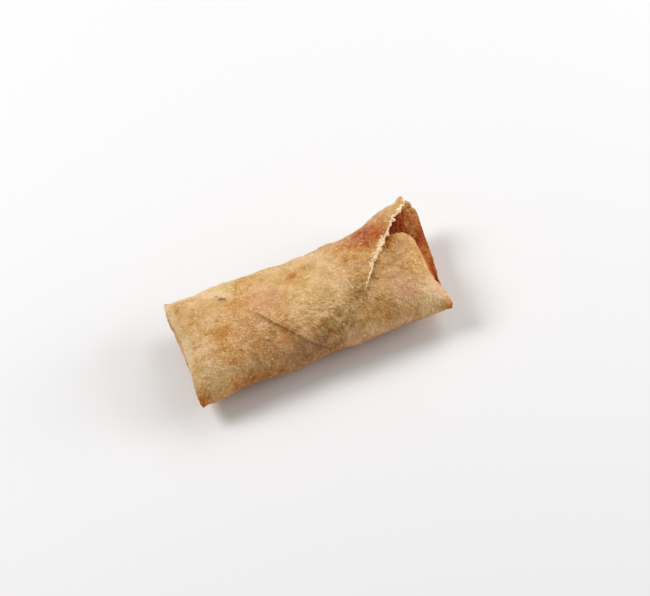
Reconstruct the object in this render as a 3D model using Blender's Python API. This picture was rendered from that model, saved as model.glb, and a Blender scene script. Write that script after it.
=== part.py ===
"""A fried spring roll: a square wrapper folded like an envelope round its filling, as one solid.

Metres, +Z up. X runs along the roll, Y across it, and the roll lies on Z = 0 with the side of its
closing flap up. The origin is the middle of the flat spot that it rests on.

The roll is a pillow. A point of its skin is named by its station, from -1 at the left end to 1 at the
right end, and by its angle round the roll: 0 at the far edge, 90 degrees on top, 180 at the near edge.
The last corner of the wrapper is a V that comes from the far side, crosses the top and ends under
the near edge. At the far right corner it stands off the roll, as an open ear.
"""

import math
import random

import bmesh
import bpy
from mathutils import Vector, noise

# Size of the roll
LENGTH = 0.110
END_WIDTH = 0.0540
WAIST_WIDTH = 0.0452
MIDDLE_HEIGHT = 0.0128
TOP_RISE = 0.0150
BOTTOM_DROP = 0.0130
SIDEWAYS_BOW = 0.0020
HALF_LENGTH = LENGTH / 2

# How the pillow narrows into its flat folded ends
END_TOP_SHARE = 0.46
END_BOTTOM_SHARE = 0.40
SHOULDER_POWER = 6
WAIST_POWER = 3.5
MIDDLE_SQUARENESS = 2.15
END_SQUARENESS = 1.30
PINCH = 0.0012
END_BOW = {-1: 0.0012, 1: 0.0006}
END_SLANT = {-1: 0.0, 1: 0.0019}
END_ROUNDING = {-1: 0.0022, 1: 0.0016}
END_ROUNDING_POWER = 10
END_DISH = 0.0010

# A dent in the right end, with its place and its width as shares of the half width there
END_DENT = 0.0014
END_DENT_PLACE = -0.66
END_DENT_WIDTH = 0.26

# The four corners, (station sign, side sign): the pull out of the plain outline, and its spread
CORNER_PULLS = {
    (-1, -1): ((-0.0022, -0.0010, -0.0016), 0.010),
    (-1, 1): ((-0.0002, 0.0000, 0.0004), 0.010),
    (1, -1): ((0.0014, -0.0008, 0.0008), 0.005),
    (1, 1): ((0.0012, -0.0004, 0.0022), 0.010),
}

# The closing flap: the last corner of the wrapper
SKIN = 0.0010
FLAP_ROOT = 0.0007
FLAP_TIP_X = 0.0046
FLAP_TIP_ANGLE = math.radians(184.7)
FLAP_END_ANGLE = math.radians(178.5)
FLAP_BASE_ANGLE = math.radians(-34)
FLAP_LEFT_RATE = 0.0175
FLAP_RIGHT_RATE = 0.0166
FLAP_FIRST_STATION = -0.985
FLAP_SUNK = -0.0004

# The panel of the inner layer at the right end, and the shelf that is left round its far corner
PANEL_CORNER_X = 0.0450
PANEL_CORNER_Y = 0.0033
PANEL_CORNER_RADIUS = 0.0050
PANEL_SHOULDER = 0.0036
PANEL_FAR_START = 0.0270
PANEL_FAR_END = 0.0410
PANEL_NEAR_START = -0.0120
PANEL_NEAR_END = -0.0300
PANEL_FAR_RUN = 0.0150
PANEL_NEAR_RUN = 0.0085
SHELF_RISE = 0.0010
SHELF_CURL = 0.0016
SHELF_CURL_WIDTH = 0.0090

# The ear: the part of the flap that stands off the roll
EAR_LIFT = 0.0034
EAR_X = 0.0450
EAR_ANGLE = math.radians(26)
EAR_STATION = 0.925
EAR_FOOT_ANGLE = math.radians(12)
EAR_FOOT_STATION = 0.988
EAR_FLARE = 0.0034
EAR_FLARE_START = math.radians(100)
EAR_FLARE_END = math.radians(70)
EAR_REACH_X = 0.0120
EAR_REACH_ABOVE = math.radians(48)
EAR_REACH_BELOW = math.radians(15)

# Uneven relief of the fried skin
LUMP_HEIGHT = 0.0009
LUMP_SIZE = 0.0150
BLISTER_SEED = 7
BLISTER_COUNT = 34
BLISTER_RADIUS = (0.0022, 0.0046)
BLISTER_HEIGHT = (0.00022, 0.00055)
KNUCKLE_X = -0.0190
KNUCKLE_ANGLE = math.radians(94)
KNUCKLE_RADIUS = 0.0050
KNUCKLE_HEIGHT = 0.0009

# Cells of the two blocks that are shaped into the roll and its flap
ROLL_CELLS = (46, 18, 10)
FLAP_CELLS = (44, 34, 1)
END_CROWDING = 0.12

CRUST_COLOUR = (0.62, 0.37, 0.15, 1.0)
CRUST_ROUGHNESS = 0.55


def smooth_step(low, high, value):
    """0 up to low, 1 from high on, and a smooth rise between them."""
    share = min(1.0, max(0.0, (value - low) / (high - low)))
    return share * share * (3 - 2 * share)


def signed_power(value, power):
    return math.copysign(abs(value) ** power, value)


def half_width(station):
    """Half the roll's width: narrow at the full waist, wide at the flat ends."""
    return (WAIST_WIDTH + (END_WIDTH - WAIST_WIDTH) * abs(station) ** WAIST_POWER) / 2


def fullness(station):
    """1 in the middle of the roll, falling to 0 at the end folds."""
    return math.sqrt(max(0.0, 1 - abs(station) ** SHOULDER_POWER))


def end_setback(station, y):
    """How far the end fold lies inside the plain end: bowed, slanted, dented, rounded at its corners."""
    share = abs(y) / half_width(station)
    end = 1 if station > 0 else -1
    setback = END_BOW[end] * (1 - share**2) + END_ROUNDING[end] * share**END_ROUNDING_POWER
    if end > 0:
        from_dent = (y / half_width(station) - END_DENT_PLACE) / END_DENT_WIDTH
        setback += END_DENT * math.exp(-from_dent * from_dent)
    slant = END_SLANT[end] * (1 + y / half_width(station))
    return (setback - slant) * abs(station) ** SHOULDER_POWER


def half_height(station, rise, end_share):
    return rise * (end_share + (1 - end_share) * fullness(station))


def corner_pull(x, y):
    """The shift that the four corners' pulls give a point, each felt within its own spread."""
    shift = Vector()
    for (end, side), (pull, spread) in CORNER_PULLS.items():
        corner = Vector((end * HALF_LENGTH, side * END_WIDTH / 2))
        away = (Vector((x, y)) - corner).length / spread
        shift += Vector(pull) * math.exp(-away * away)
    return shift


def outline_point(station, angle, reach=1.0):
    """A point of the plain pillow. A reach below 1 lies inside the section, on an end face."""
    full = fullness(station)
    power = 2 / (END_SQUARENESS + (MIDDLE_SQUARENESS - END_SQUARENESS) * full)
    across = signed_power(math.cos(angle), power)
    up = signed_power(math.sin(angle), power)
    y = reach * half_width(station) * across
    if up > 0:
        height = half_height(station, TOP_RISE, END_TOP_SHARE)
    else:
        height = half_height(station, BOTTOM_DROP, END_BOTTOM_SHARE)
    z = reach * (height * up + PINCH * math.sin(angle))
    setback = end_setback(station, y) + END_DISH * (1 - reach * reach)
    x = station * HALF_LENGTH - math.copysign(1, station) * setback
    point = Vector((x, y, MIDDLE_HEIGHT + z)) + corner_pull(x, y)
    point.y -= SIDEWAYS_BOW * (1 - station * station)
    return point


def blister_places():
    """(x, angle, radius, height) of each large blister, evenly scattered by a seeded draw."""
    draw = random.Random(BLISTER_SEED)
    places = [(KNUCKLE_X, KNUCKLE_ANGLE, KNUCKLE_RADIUS, KNUCKLE_HEIGHT)]
    for _ in range(BLISTER_COUNT):
        x = draw.uniform(-0.9, 0.9) * HALF_LENGTH
        angle = draw.uniform(0, 2 * math.pi)
        places.append((x, angle, draw.uniform(*BLISTER_RADIUS), draw.uniform(*BLISTER_HEIGHT)))
    return places


BLISTERS = [
    (outline_point(x / HALF_LENGTH, angle), radius, height)
    for x, angle, radius, height in blister_places()
]


def relief(point):
    """How far the fried skin stands out at a point: slow lumps from the filling, and blisters."""
    height = LUMP_HEIGHT * noise.noise(point / LUMP_SIZE)
    for centre, radius, rise in BLISTERS:
        away = (point - centre).length / radius
        if away < 1:
            height += rise * (1 - away * away) ** 2
    return height


def panel_gap(x, y):
    """How far a point lies outside the inner layer's panel at the far right corner, in metres."""
    far_run = PANEL_FAR_RUN * (1 - smooth_step(PANEL_FAR_START, PANEL_FAR_END, x))
    near_run = PANEL_NEAR_RUN * (1 - smooth_step(PANEL_NEAR_END, PANEL_NEAR_START, y))
    past = Vector((max(0.0, x - PANEL_CORNER_X - near_run), max(0.0, y - PANEL_CORNER_Y - far_run)))
    return past.length - PANEL_CORNER_RADIUS


def with_shelf(point):
    """The roll without its flap: outside the panel the top falls to a thin shelf that curls up."""
    middle = MIDDLE_HEIGHT + corner_pull(point.x, point.y).z
    rise = point.z - middle
    gap = panel_gap(point.x, point.y)
    if gap <= 0 or rise <= 0:
        return point
    curl = SHELF_CURL * smooth_step(PANEL_SHOULDER, PANEL_SHOULDER + SHELF_CURL_WIDTH, gap)
    shelf = min(rise, SHELF_RISE + curl)
    kept = 1 - smooth_step(0, PANEL_SHOULDER, gap)
    return Vector((point.x, point.y, middle + shelf + (rise - shelf) * kept))


def skin_normal(station, angle):
    """Outward direction of the plain pillow, from two short steps along its skin."""
    step = 0.01
    ahead = min(station + step, 1) - max(station - step, -1)
    along = outline_point(min(station + step, 1), angle) - outline_point(max(station - step, -1), angle)
    round_it = outline_point(station, angle + step) - outline_point(station, angle - step)
    return (along / ahead).cross(round_it).normalized() * -1


def ring_place(across, up):
    """(angle, reach) of a point of a square, so that its outline runs evenly round the roll."""
    reach = max(abs(across), abs(up))
    if reach == 0:
        return 0.0, 0.0
    across, up = across / reach, up / reach
    quarter = math.pi / 4
    if abs(across) >= abs(up):
        angle = quarter * up if across > 0 else math.pi - quarter * up
    else:
        angle = math.pi / 2 - quarter * across if up > 0 else 1.5 * math.pi + quarter * across
    return angle, reach


def roll_point(place):
    """Where a point of the block lies on the roll."""
    station = place.x + END_CROWDING * math.sin(math.pi * place.x)
    angle, reach = ring_place(place.y, place.z)
    if abs(place.x) < 1:
        reach = 1.0
    rim = outline_point(station, angle)
    shift = with_shelf(rim + skin_normal(station, angle) * relief(rim)) - rim
    return outline_point(station, angle, reach) + shift * reach


def flap_sides(angle):
    """The x of the flap's left and right side at an angle round the roll."""
    to_tip = FLAP_TIP_ANGLE - angle
    left = FLAP_TIP_X - FLAP_LEFT_RATE * to_tip
    right = FLAP_TIP_X + FLAP_RIGHT_RATE * to_tip
    right += EAR_FLARE * (1 - smooth_step(EAR_FLARE_END, EAR_FLARE_START, angle))
    at_ear = smooth_step(EAR_FOOT_ANGLE, EAR_ANGLE, angle)
    last = EAR_FOOT_STATION + (EAR_STATION - EAR_FOOT_STATION) * at_ear
    return max(left, FLAP_FIRST_STATION * HALF_LENGTH), min(right, last * HALF_LENGTH)


def ear_lift(x, angle):
    """How far the flap stands off the roll, most at the tip of its ear."""
    along = (EAR_X - x) / EAR_REACH_X
    reach = EAR_REACH_ABOVE if angle > EAR_ANGLE else EAR_REACH_BELOW
    round_it = (angle - EAR_ANGLE) / reach
    return EAR_LIFT * math.exp(-(along * along) - round_it * round_it)


def flap_step(x, angle):
    """The flap's height over the roll as a share of its skin: its base and its stuck sides sink in."""
    left, right = flap_sides(angle)
    from_base = smooth_step(FLAP_BASE_ANGLE, math.radians(30), angle)
    left_stuck = 1 - smooth_step(math.radians(92), math.radians(104), angle)
    right_stuck = smooth_step(math.radians(112), math.radians(135), angle)
    left_in = smooth_step(0, 0.012, x - left)
    right_in = smooth_step(0, 0.009, right - x)
    return from_base * (1 - left_stuck * (1 - left_in)) * (1 - right_stuck * 0.8 * (1 - right_in))


def flap_point(place):
    """Where a point of the flap's block lies: the upper side is the flap's face, the lower its root."""
    angle = FLAP_BASE_ANGLE + (FLAP_END_ANGLE - FLAP_BASE_ANGLE) * (place.y + 1) / 2
    left, right = flap_sides(angle)
    x = left + (right - left) * (place.x + 1) / 2
    station = x / HALF_LENGTH
    point = outline_point(station, angle)
    lift = ear_lift(x, angle)
    height = FLAP_SUNK + (SKIN - FLAP_SUNK) * flap_step(x, angle) + lift
    if place.z < 0:
        stuck = 1 - smooth_step(-0.004, 0.0, panel_gap(point.x, point.y))
        height -= SKIN + FLAP_ROOT * stuck
    return point + skin_normal(station, angle) * (height + relief(point))


def block(name, cells, shape):
    """A block cut into cells, each of its points then moved to where shape puts it."""
    mesh = bmesh.new()
    bmesh.ops.create_cube(mesh, size=2)
    for axis, count in enumerate(cells):
        normal = Vector([float(i == axis) for i in range(3)])
        for i in range(1, count):
            everything = mesh.verts[:] + mesh.edges[:] + mesh.faces[:]
            bmesh.ops.bisect_plane(
                mesh, geom=everything, plane_co=normal * (2 * i / count - 1), plane_no=normal
            )
    for vert in mesh.verts:
        vert.co = shape(vert.co.copy())
    if mesh.calc_volume(signed=True) < 0:
        bmesh.ops.reverse_faces(mesh, faces=mesh.faces)
    data = bpy.data.meshes.new(name)
    mesh.to_mesh(data)
    mesh.free()
    made = bpy.data.objects.new(name, data)
    bpy.context.scene.collection.objects.link(made)
    return made


def apply_modifiers(made):
    """Keeps the mesh that the object's modifiers make, and removes the modifiers."""
    graph = bpy.context.evaluated_depsgraph_get()
    made.data = bpy.data.meshes.new_from_object(made.evaluated_get(graph))
    made.modifiers.clear()


def join_flap(roll, flap):
    union = roll.modifiers.new("closing_flap", "BOOLEAN")
    union.operation = "UNION"
    union.solver = "EXACT"
    union.object = flap
    apply_modifiers(roll)
    bpy.data.objects.remove(flap)


def flatten_base(roll):
    """Cuts the underside off level, which is the flat spot that the roll lies on."""
    mesh = bmesh.new()
    mesh.from_mesh(roll.data)
    everything = mesh.verts[:] + mesh.edges[:] + mesh.faces[:]
    cut = bmesh.ops.bisect_plane(
        mesh, geom=everything, plane_co=(0, 0, 0), plane_no=(0, 0, 1), clear_inner=True
    )
    edges = [part for part in cut["geom_cut"] if isinstance(part, bmesh.types.BMEdge)]
    bmesh.ops.edgeloop_fill(mesh, edges=edges)
    bmesh.ops.triangulate(mesh, faces=mesh.faces)
    mesh.to_mesh(roll.data)
    mesh.free()


def crust_material():
    crust = bpy.data.materials.new("fried_crust")
    crust.use_nodes = True
    shader = crust.node_tree.nodes["Principled BSDF"]
    shader.inputs["Base Color"].default_value = CRUST_COLOUR
    shader.inputs["Roughness"].default_value = CRUST_ROUGHNESS
    shader.inputs["Metallic"].default_value = 0.0
    return crust


def main():
    for old in list(bpy.data.objects):
        bpy.data.objects.remove(old)
    roll = block("spring_roll", ROLL_CELLS, roll_point)
    flap = block("closing_flap", FLAP_CELLS, flap_point)
    join_flap(roll, flap)
    flatten_base(roll)
    roll.data.materials.clear()
    roll.data.materials.append(crust_material())
    roll.data.shade_smooth()
    roll.data.set_sharp_from_angle(angle=math.radians(40))


main()
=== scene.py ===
# %% [markdown]
# # A fried spring roll
# The roll is a square wrapper folded like an envelope round its filling and fried until golden.
# Two pieces make its looks: the body, and the closing flap that is the wrapper's last corner. They
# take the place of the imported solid, which is loaded first and gives the frame that all sizes
# share. Lengths are in metres, and shares and powers have no unit.

import math
import random

import bmesh
import bpy
from mathutils import Matrix, Vector, noise


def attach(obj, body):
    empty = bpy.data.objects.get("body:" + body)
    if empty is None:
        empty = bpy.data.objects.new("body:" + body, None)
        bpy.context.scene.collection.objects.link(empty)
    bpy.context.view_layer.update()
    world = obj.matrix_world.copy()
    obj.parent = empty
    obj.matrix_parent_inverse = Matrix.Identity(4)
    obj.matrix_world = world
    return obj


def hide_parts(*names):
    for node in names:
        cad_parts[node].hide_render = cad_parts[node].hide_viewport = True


# Blender shifts its noise vectors by a seed taken from the clock, unless one is given. This one
# was picked from many, because it makes the torn edge wander as the real one does.
NOISE_SEED = 170
noise.seed_set(NOISE_SEED)

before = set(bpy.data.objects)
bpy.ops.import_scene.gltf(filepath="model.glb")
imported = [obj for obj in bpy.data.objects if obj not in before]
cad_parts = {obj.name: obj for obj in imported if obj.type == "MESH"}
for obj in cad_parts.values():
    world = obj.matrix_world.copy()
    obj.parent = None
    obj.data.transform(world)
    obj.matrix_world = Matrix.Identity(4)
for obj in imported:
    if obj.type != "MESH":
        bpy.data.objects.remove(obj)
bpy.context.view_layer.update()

# %% [markdown]
# ## The camera
# The roll is seen from above its near side, with the camera turned about its own line of sight, so
# that the roll runs up to the right. An azimuth, an elevation and a roll say this in three numbers.

# %% The camera
CAMERA_AIM = Vector((0.0086, -0.0002, 0.014))
CAMERA_AZIMUTH = math.radians(-10.8)
CAMERA_ELEVATION = math.radians(53.5)
CAMERA_ROLL = math.radians(-12.3)
CAMERA_DISTANCE = 1.10
CAMERA_LENS = 147.8  # in millimetres
CAMERA_CLIP_START = 0.01

backwards = Vector(
    (
        math.sin(CAMERA_AZIMUTH) * math.cos(CAMERA_ELEVATION),
        -math.cos(CAMERA_AZIMUTH) * math.cos(CAMERA_ELEVATION),
        math.sin(CAMERA_ELEVATION),
    )
)
bpy.ops.object.camera_add(location=CAMERA_AIM + backwards * CAMERA_DISTANCE)
camera = bpy.context.object
level = backwards.to_track_quat("Z", "Y").to_matrix()
camera.rotation_euler = (level @ Matrix.Rotation(CAMERA_ROLL, 3, "Z")).to_euler()
camera.data.lens = CAMERA_LENS
camera.data.clip_start = CAMERA_CLIP_START
bpy.context.scene.camera = camera
print("camera at", [round(v, 3) for v in camera.location])

# %% [markdown]
# ## Sizes of the roll
# The body is a pillow. A point of its skin is named by its station, from -1 at the left end to 1 at
# the right end, and by its angle round the roll: 0 at the far edge, 90 degrees on top, 180 at the
# near edge. A formula of these two is exact and easy to change, where a lattice would need many
# handles. The same named sizes shape the solid that carries this finish.

# %% Sizes of the body
LENGTH = 0.110
END_WIDTH = 0.0540
WAIST_WIDTH = 0.0452
MIDDLE_HEIGHT = 0.0128
TOP_RISE = 0.0150
BOTTOM_DROP = 0.0130
SIDEWAYS_BOW = 0.0020
HALF_LENGTH = LENGTH / 2

END_TOP_SHARE = 0.46
END_BOTTOM_SHARE = 0.40
SHOULDER_POWER = 6
WAIST_POWER = 3.5
# A squareness of 2 gives an oval section. Above it the section is boxier, below it more pointed.
MIDDLE_SQUARENESS = 2.15
END_SQUARENESS = 1.30
PINCH = 0.0012
# The left end is -1 and the right end is 1
END_BOW = {-1: 0.0012, 1: 0.0006}
END_SLANT = {-1: 0.0, 1: 0.0019}
END_ROUNDING = {-1: 0.0022, 1: 0.0016}
END_ROUNDING_POWER = 10
END_DENT = 0.0014
END_DENT_PLACE = -0.66
END_DENT_WIDTH = 0.26
END_DISH = 0.0010
END_CREASE = 0.0012
END_CREASE_WIDTH = 0.0014

# The four corners, (station sign, side sign): the pull out of the plain outline, and its spread
CORNER_PULLS = {
    (-1, -1): ((-0.0022, -0.0010, -0.0016), 0.010),
    (-1, 1): ((-0.0002, 0.0000, 0.0004), 0.010),
    (1, -1): ((0.0014, -0.0008, 0.0008), 0.005),
    (1, 1): ((0.0012, -0.0004, 0.0022), 0.010),
}


# %% The outline of the pillow
def smooth_step(low, high, value):
    """0 up to low, 1 from high on, and a smooth rise between them."""
    share = min(1.0, max(0.0, (value - low) / (high - low)))
    return share * share * (3 - 2 * share)


def signed_power(value, power):
    """A power of the value's size, with the value's sign."""
    return math.copysign(abs(value) ** power, value)


def half_width(station):
    """Half the roll's width: narrow at the full waist, wide at the flat ends."""
    return (WAIST_WIDTH + (END_WIDTH - WAIST_WIDTH) * abs(station) ** WAIST_POWER) / 2


def fullness(station):
    """1 in the middle of the roll, falling to 0 at the end folds."""
    return math.sqrt(max(0.0, 1 - abs(station) ** SHOULDER_POWER))


def end_setback(station, y):
    """How far the end fold lies inside the plain end: bowed, slanted, dented and rounded."""
    share = abs(y) / half_width(station)
    end = 1 if station > 0 else -1
    setback = END_BOW[end] * (1 - share**2) + END_ROUNDING[end] * share**END_ROUNDING_POWER
    if end > 0:
        from_dent = (y / half_width(station) - END_DENT_PLACE) / END_DENT_WIDTH
        setback += END_DENT * math.exp(-from_dent * from_dent)
    slant = END_SLANT[end] * (1 + y / half_width(station))
    return (setback - slant) * abs(station) ** SHOULDER_POWER


def corner_pull(x, y):
    """The shift that the four corners' pulls give a point, each felt within its own spread."""
    shift = Vector()
    for (end, side), (pull, spread) in CORNER_PULLS.items():
        corner = Vector((end * HALF_LENGTH, side * END_WIDTH / 2))
        away = (Vector((x, y)) - corner).length / spread
        shift += Vector(pull) * math.exp(-away * away)
    return shift


print("width at the waist and at the ends, mm:", [round(half_width(s) * 2000, 1) for s in (0, 1)])


# %% Points of the skin
def outline_point(station, angle, reach=1.0):
    """A point of the plain pillow. A reach below 1 lies inside the section, on an end face."""
    full = fullness(station)
    power = 2 / (END_SQUARENESS + (MIDDLE_SQUARENESS - END_SQUARENESS) * full)
    across = signed_power(math.cos(angle), power)
    up = signed_power(math.sin(angle), power)
    y = reach * half_width(station) * across
    if up > 0:
        height = TOP_RISE * (END_TOP_SHARE + (1 - END_TOP_SHARE) * full)
    else:
        height = BOTTOM_DROP * (END_BOTTOM_SHARE + (1 - END_BOTTOM_SHARE) * full)
    z = reach * (height * up + PINCH * math.sin(angle))
    dish = END_DISH * (1 - reach * reach)
    if reach < 1:
        dish += END_CREASE * math.exp(-((z / END_CREASE_WIDTH) ** 2)) * (1 - reach * reach)
    setback = end_setback(station, y) + dish
    x = station * HALF_LENGTH - math.copysign(1, station) * setback
    point = Vector((x, y, MIDDLE_HEIGHT + z)) + corner_pull(x, y)
    point.y -= SIDEWAYS_BOW * (1 - station * station)
    return point


def skin_normal(station, angle):
    """Outward direction of the plain pillow, from two short steps along its skin."""
    step = 0.01
    before, after = max(station - step, -1), min(station + step, 1)
    along = outline_point(after, angle) - outline_point(before, angle)
    round_it = outline_point(station, angle + step) - outline_point(station, angle - step)
    return round_it.cross(along).normalized()


print("skin at the waist, mm:", [round(v * 1000, 1) for v in outline_point(0, math.pi / 2)])

# %% [markdown]
# ## Lumps and blisters
# The filling pushes slow lumps into the wrapper, and steam lifts blisters out of it as it fries. A
# few large blisters and the lumps are worked out here, because the flap has to follow them too.
# The finer ones come later from Displace modifiers.

# %% Lumps and large blisters
LUMP_HEIGHT = 0.0009
LUMP_SIZE = 0.0150
BLISTER_SEED = 7
BLISTER_COUNT = 34
BLISTER_STATIONS = (-0.9, 0.9)
BLISTER_RADIUS = (0.0022, 0.0046)
BLISTER_HEIGHT = (0.00022, 0.00055)
# The knuckle is a larger lump, where the filling presses out beside the flap's left edge
KNUCKLE_X = -0.0190
KNUCKLE_ANGLE = math.radians(94)
KNUCKLE_RADIUS = 0.0050
KNUCKLE_HEIGHT = 0.0009


def blister_places():
    """(x, angle, radius, height) of the knuckle and of each large blister, by a seeded draw."""
    draw = random.Random(BLISTER_SEED)
    places = [(KNUCKLE_X, KNUCKLE_ANGLE, KNUCKLE_RADIUS, KNUCKLE_HEIGHT)]
    for _ in range(BLISTER_COUNT):
        x = draw.uniform(*BLISTER_STATIONS) * HALF_LENGTH
        angle = draw.uniform(0, 2 * math.pi)
        places.append((x, angle, draw.uniform(*BLISTER_RADIUS), draw.uniform(*BLISTER_HEIGHT)))
    return places


blisters = [
    (outline_point(x / HALF_LENGTH, angle), radius, height)
    for x, angle, radius, height in blister_places()
]


def relief(point):
    """How far the fried skin stands out at a point: slow lumps from the filling, and blisters."""
    height = LUMP_HEIGHT * noise.noise(point / LUMP_SIZE)
    for centre, radius, rise in blisters:
        away = (point - centre).length / radius
        if away < 1:
            height += rise * (1 - away * away) ** 2
    return height


print("the knuckle and large blisters:", len(blisters))

# %% [markdown]
# ## The panel at the right end
# Where the flap stands open, the inner layer shows as a rounded panel, and outside it the top falls
# to a thin shelf: the edge of the outer layer, which curls up. The fall is a smooth step of the
# distance outside the panel's outline.

# %% The panel and its shelf
PANEL_CORNER_X = 0.0450
PANEL_CORNER_Y = 0.0033
PANEL_CORNER_RADIUS = 0.0050
PANEL_SHOULDER = 0.0036
PANEL_FAR_START = 0.0270
PANEL_FAR_END = 0.0410
PANEL_NEAR_START = -0.0120
PANEL_NEAR_END = -0.0300
PANEL_FAR_RUN = 0.0150
PANEL_NEAR_RUN = 0.0085
SHELF_RISE = 0.0010
SHELF_CURL = 0.0016
SHELF_CURL_WIDTH = 0.0090


def panel_gap(x, y):
    """How far a point lies outside the panel, in metres. It is negative on the panel."""
    far_run = PANEL_FAR_RUN * (1 - smooth_step(PANEL_FAR_START, PANEL_FAR_END, x))
    near_run = PANEL_NEAR_RUN * (1 - smooth_step(PANEL_NEAR_END, PANEL_NEAR_START, y))
    past = Vector((max(0.0, x - PANEL_CORNER_X - near_run), max(0.0, y - PANEL_CORNER_Y - far_run)))
    return past.length - PANEL_CORNER_RADIUS


def with_shelf(point):
    """The roll without its flap: outside the panel the top falls to a thin shelf that curls up."""
    middle = MIDDLE_HEIGHT + corner_pull(point.x, point.y).z
    rise = point.z - middle
    gap = panel_gap(point.x, point.y)
    if gap <= 0 or rise <= 0:
        return point
    curl = SHELF_CURL * smooth_step(PANEL_SHOULDER, PANEL_SHOULDER + SHELF_CURL_WIDTH, gap)
    shelf = min(rise, SHELF_RISE + curl)
    kept = 1 - smooth_step(0, PANEL_SHOULDER, gap)
    return Vector((point.x, point.y, middle + shelf + (rise - shelf) * kept))


corner_gap = panel_gap(HALF_LENGTH, END_WIDTH / 2)
print("from the panel to the roll's far right corner, mm:", round(corner_gap * 1000, 1))

# %% [markdown]
# ## Cutting a block into cells
# Both pieces start as a cube at the size and place of what they become. Its edges are divided along
# one axis at a time, which cuts clean rings of four-sided cells. Subdividing all of it at once would
# give a long roll cells of the wrong shape.


# %% Helpers for editing a piece
ALONG_SHARE = 0.99


def only(piece):
    """Selects one piece alone and makes it the active one."""
    bpy.ops.object.select_all(action="DESELECT")
    piece.select_set(True)
    bpy.context.view_layer.objects.active = piece


def add_block(name, size, centre):
    """A cube drawn out to a size round a centre, with its place in its mesh."""
    bpy.ops.object.select_all(action="DESELECT")
    bpy.ops.mesh.primitive_cube_add(size=1, location=centre, scale=size)
    bpy.ops.object.transform_apply(location=True, rotation=True, scale=True)
    block = bpy.context.object
    block.name = block.data.name = name
    return block


def cut_along(piece, axis, steps):
    """Divides each edge that runs along an axis into parts, and again for each further step."""
    only(piece)
    bpy.ops.object.mode_set(mode="EDIT")
    bpy.ops.mesh.select_mode(type="EDGE")
    for parts in steps:
        bpy.ops.mesh.select_all(action="DESELECT")
        mesh = bmesh.from_edit_mesh(piece.data)
        for edge in mesh.edges:
            run = edge.verts[1].co - edge.verts[0].co
            edge.select = abs(run[axis]) > ALONG_SHARE * run.length
        bmesh.update_edit_mesh(piece.data)
        bpy.ops.mesh.subdivide(number_cuts=parts - 1)
    bpy.ops.object.mode_set(mode="OBJECT")


def shape_block(piece, size, centre, shape):
    """Moves each point of a block to where shape puts it, from its place in shares of -1 to 1."""
    shares = []
    for vert in piece.data.vertices:
        share = Vector([2 * (vert.co[i] - centre[i]) / size[i] for i in range(3)])
        vert.co = shape(share)
        shares.append(share)
    piece.data.update()
    return shares


# %% [markdown]
# ## The body
# The body is the wrapper round the filling: full in the middle, narrow at the waist, and folded flat
# at both ends. The block's four long faces become the skin and its two small faces the end folds.
# Pulling them about by hand would do, but the flap has to be laid on exactly the same skin, so the
# formula moves each point. The cells crowd towards the ends, where the folds need them.

# %% The body's shape
# Along x each edge is divided into 13 parts, and each of these into 20. Then come y and z.
BODY_STEPS = ((13, 20), (6, 12), (4, 12))
END_CROWDING = 0.12
END_FACE = 0.9999


def ring_place(across, up):
    """(angle, reach) of a point of a square, so that its outline runs evenly round the roll."""
    reach = max(abs(across), abs(up))
    if reach == 0:
        return 0.0, 0.0
    across, up = across / reach, up / reach
    quarter = math.pi / 4
    if abs(across) >= abs(up):
        angle = quarter * up if across > 0 else math.pi - quarter * up
    else:
        angle = math.pi / 2 - quarter * across if up > 0 else 1.5 * math.pi + quarter * across
    return angle, reach


def body_point(share):
    """Where a point of the block lies on the body."""
    station = share.x + END_CROWDING * math.sin(math.pi * share.x)
    angle, reach = ring_place(share.y, share.z)
    if abs(share.x) < END_FACE:
        reach = 1.0
    rim = outline_point(station, angle)
    shift = with_shelf(rim + skin_normal(station, angle) * relief(rim)) - rim
    return outline_point(station, angle, reach) + shift * reach


BODY_SIZE = (LENGTH, WAIST_WIDTH, TOP_RISE + BOTTOM_DROP)
BODY_CENTRE = (0.0, 0.0, MIDDLE_HEIGHT + (TOP_RISE - BOTTOM_DROP) / 2)
roll_body = add_block("roll_body", BODY_SIZE, BODY_CENTRE)
for axis, steps in enumerate(BODY_STEPS):
    cut_along(roll_body, axis, steps)
body_shares = shape_block(roll_body, BODY_SIZE, BODY_CENTRE, body_point)
print("body cells:", len(roll_body.data.polygons))

# %% [markdown]
# ## The closing flap
# The flap is the last corner of the wrapper, about 1 mm thick. It comes from the far side, crosses
# the top as a V and ends under the near edge. Its left side lies flush from the far edge to the top
# and then steps up as a crisp edge. Its right side is torn, and at the far right corner it stands
# off the roll as an open ear. A flat block is cut into cells and laid on the skin. A sheet with a
# Shrinkwrap modifier would follow the roll too, but its ear would need weights to stand off.

# %% Sizes of the flap
SKIN = 0.0010
FLAP_ROOT = 0.0007
FLAP_TIP_X = 0.0046
FLAP_TIP_ANGLE = math.radians(184.7)
FLAP_END_ANGLE = math.radians(178.5)
FLAP_BASE_ANGLE = math.radians(-34)
FLAP_LEFT_RATE = 0.0175
FLAP_RIGHT_RATE = 0.0166
FLAP_FIRST_STATION = -0.985
FLAP_SUNK = -0.0004
# Its base rises out of the skin, its left side comes free and its right side sticks, each from
# the first of two angles to the second
BASE_RISE_ANGLES = (FLAP_BASE_ANGLE, math.radians(30))
LEFT_FREE_ANGLES = (math.radians(92), math.radians(104))
LEFT_STUCK_WIDTH = 0.012
RIGHT_STUCK_ANGLES = (math.radians(112), math.radians(135))
RIGHT_STUCK_WIDTH = 0.009
RIGHT_STUCK_SHARE = 0.8

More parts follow.
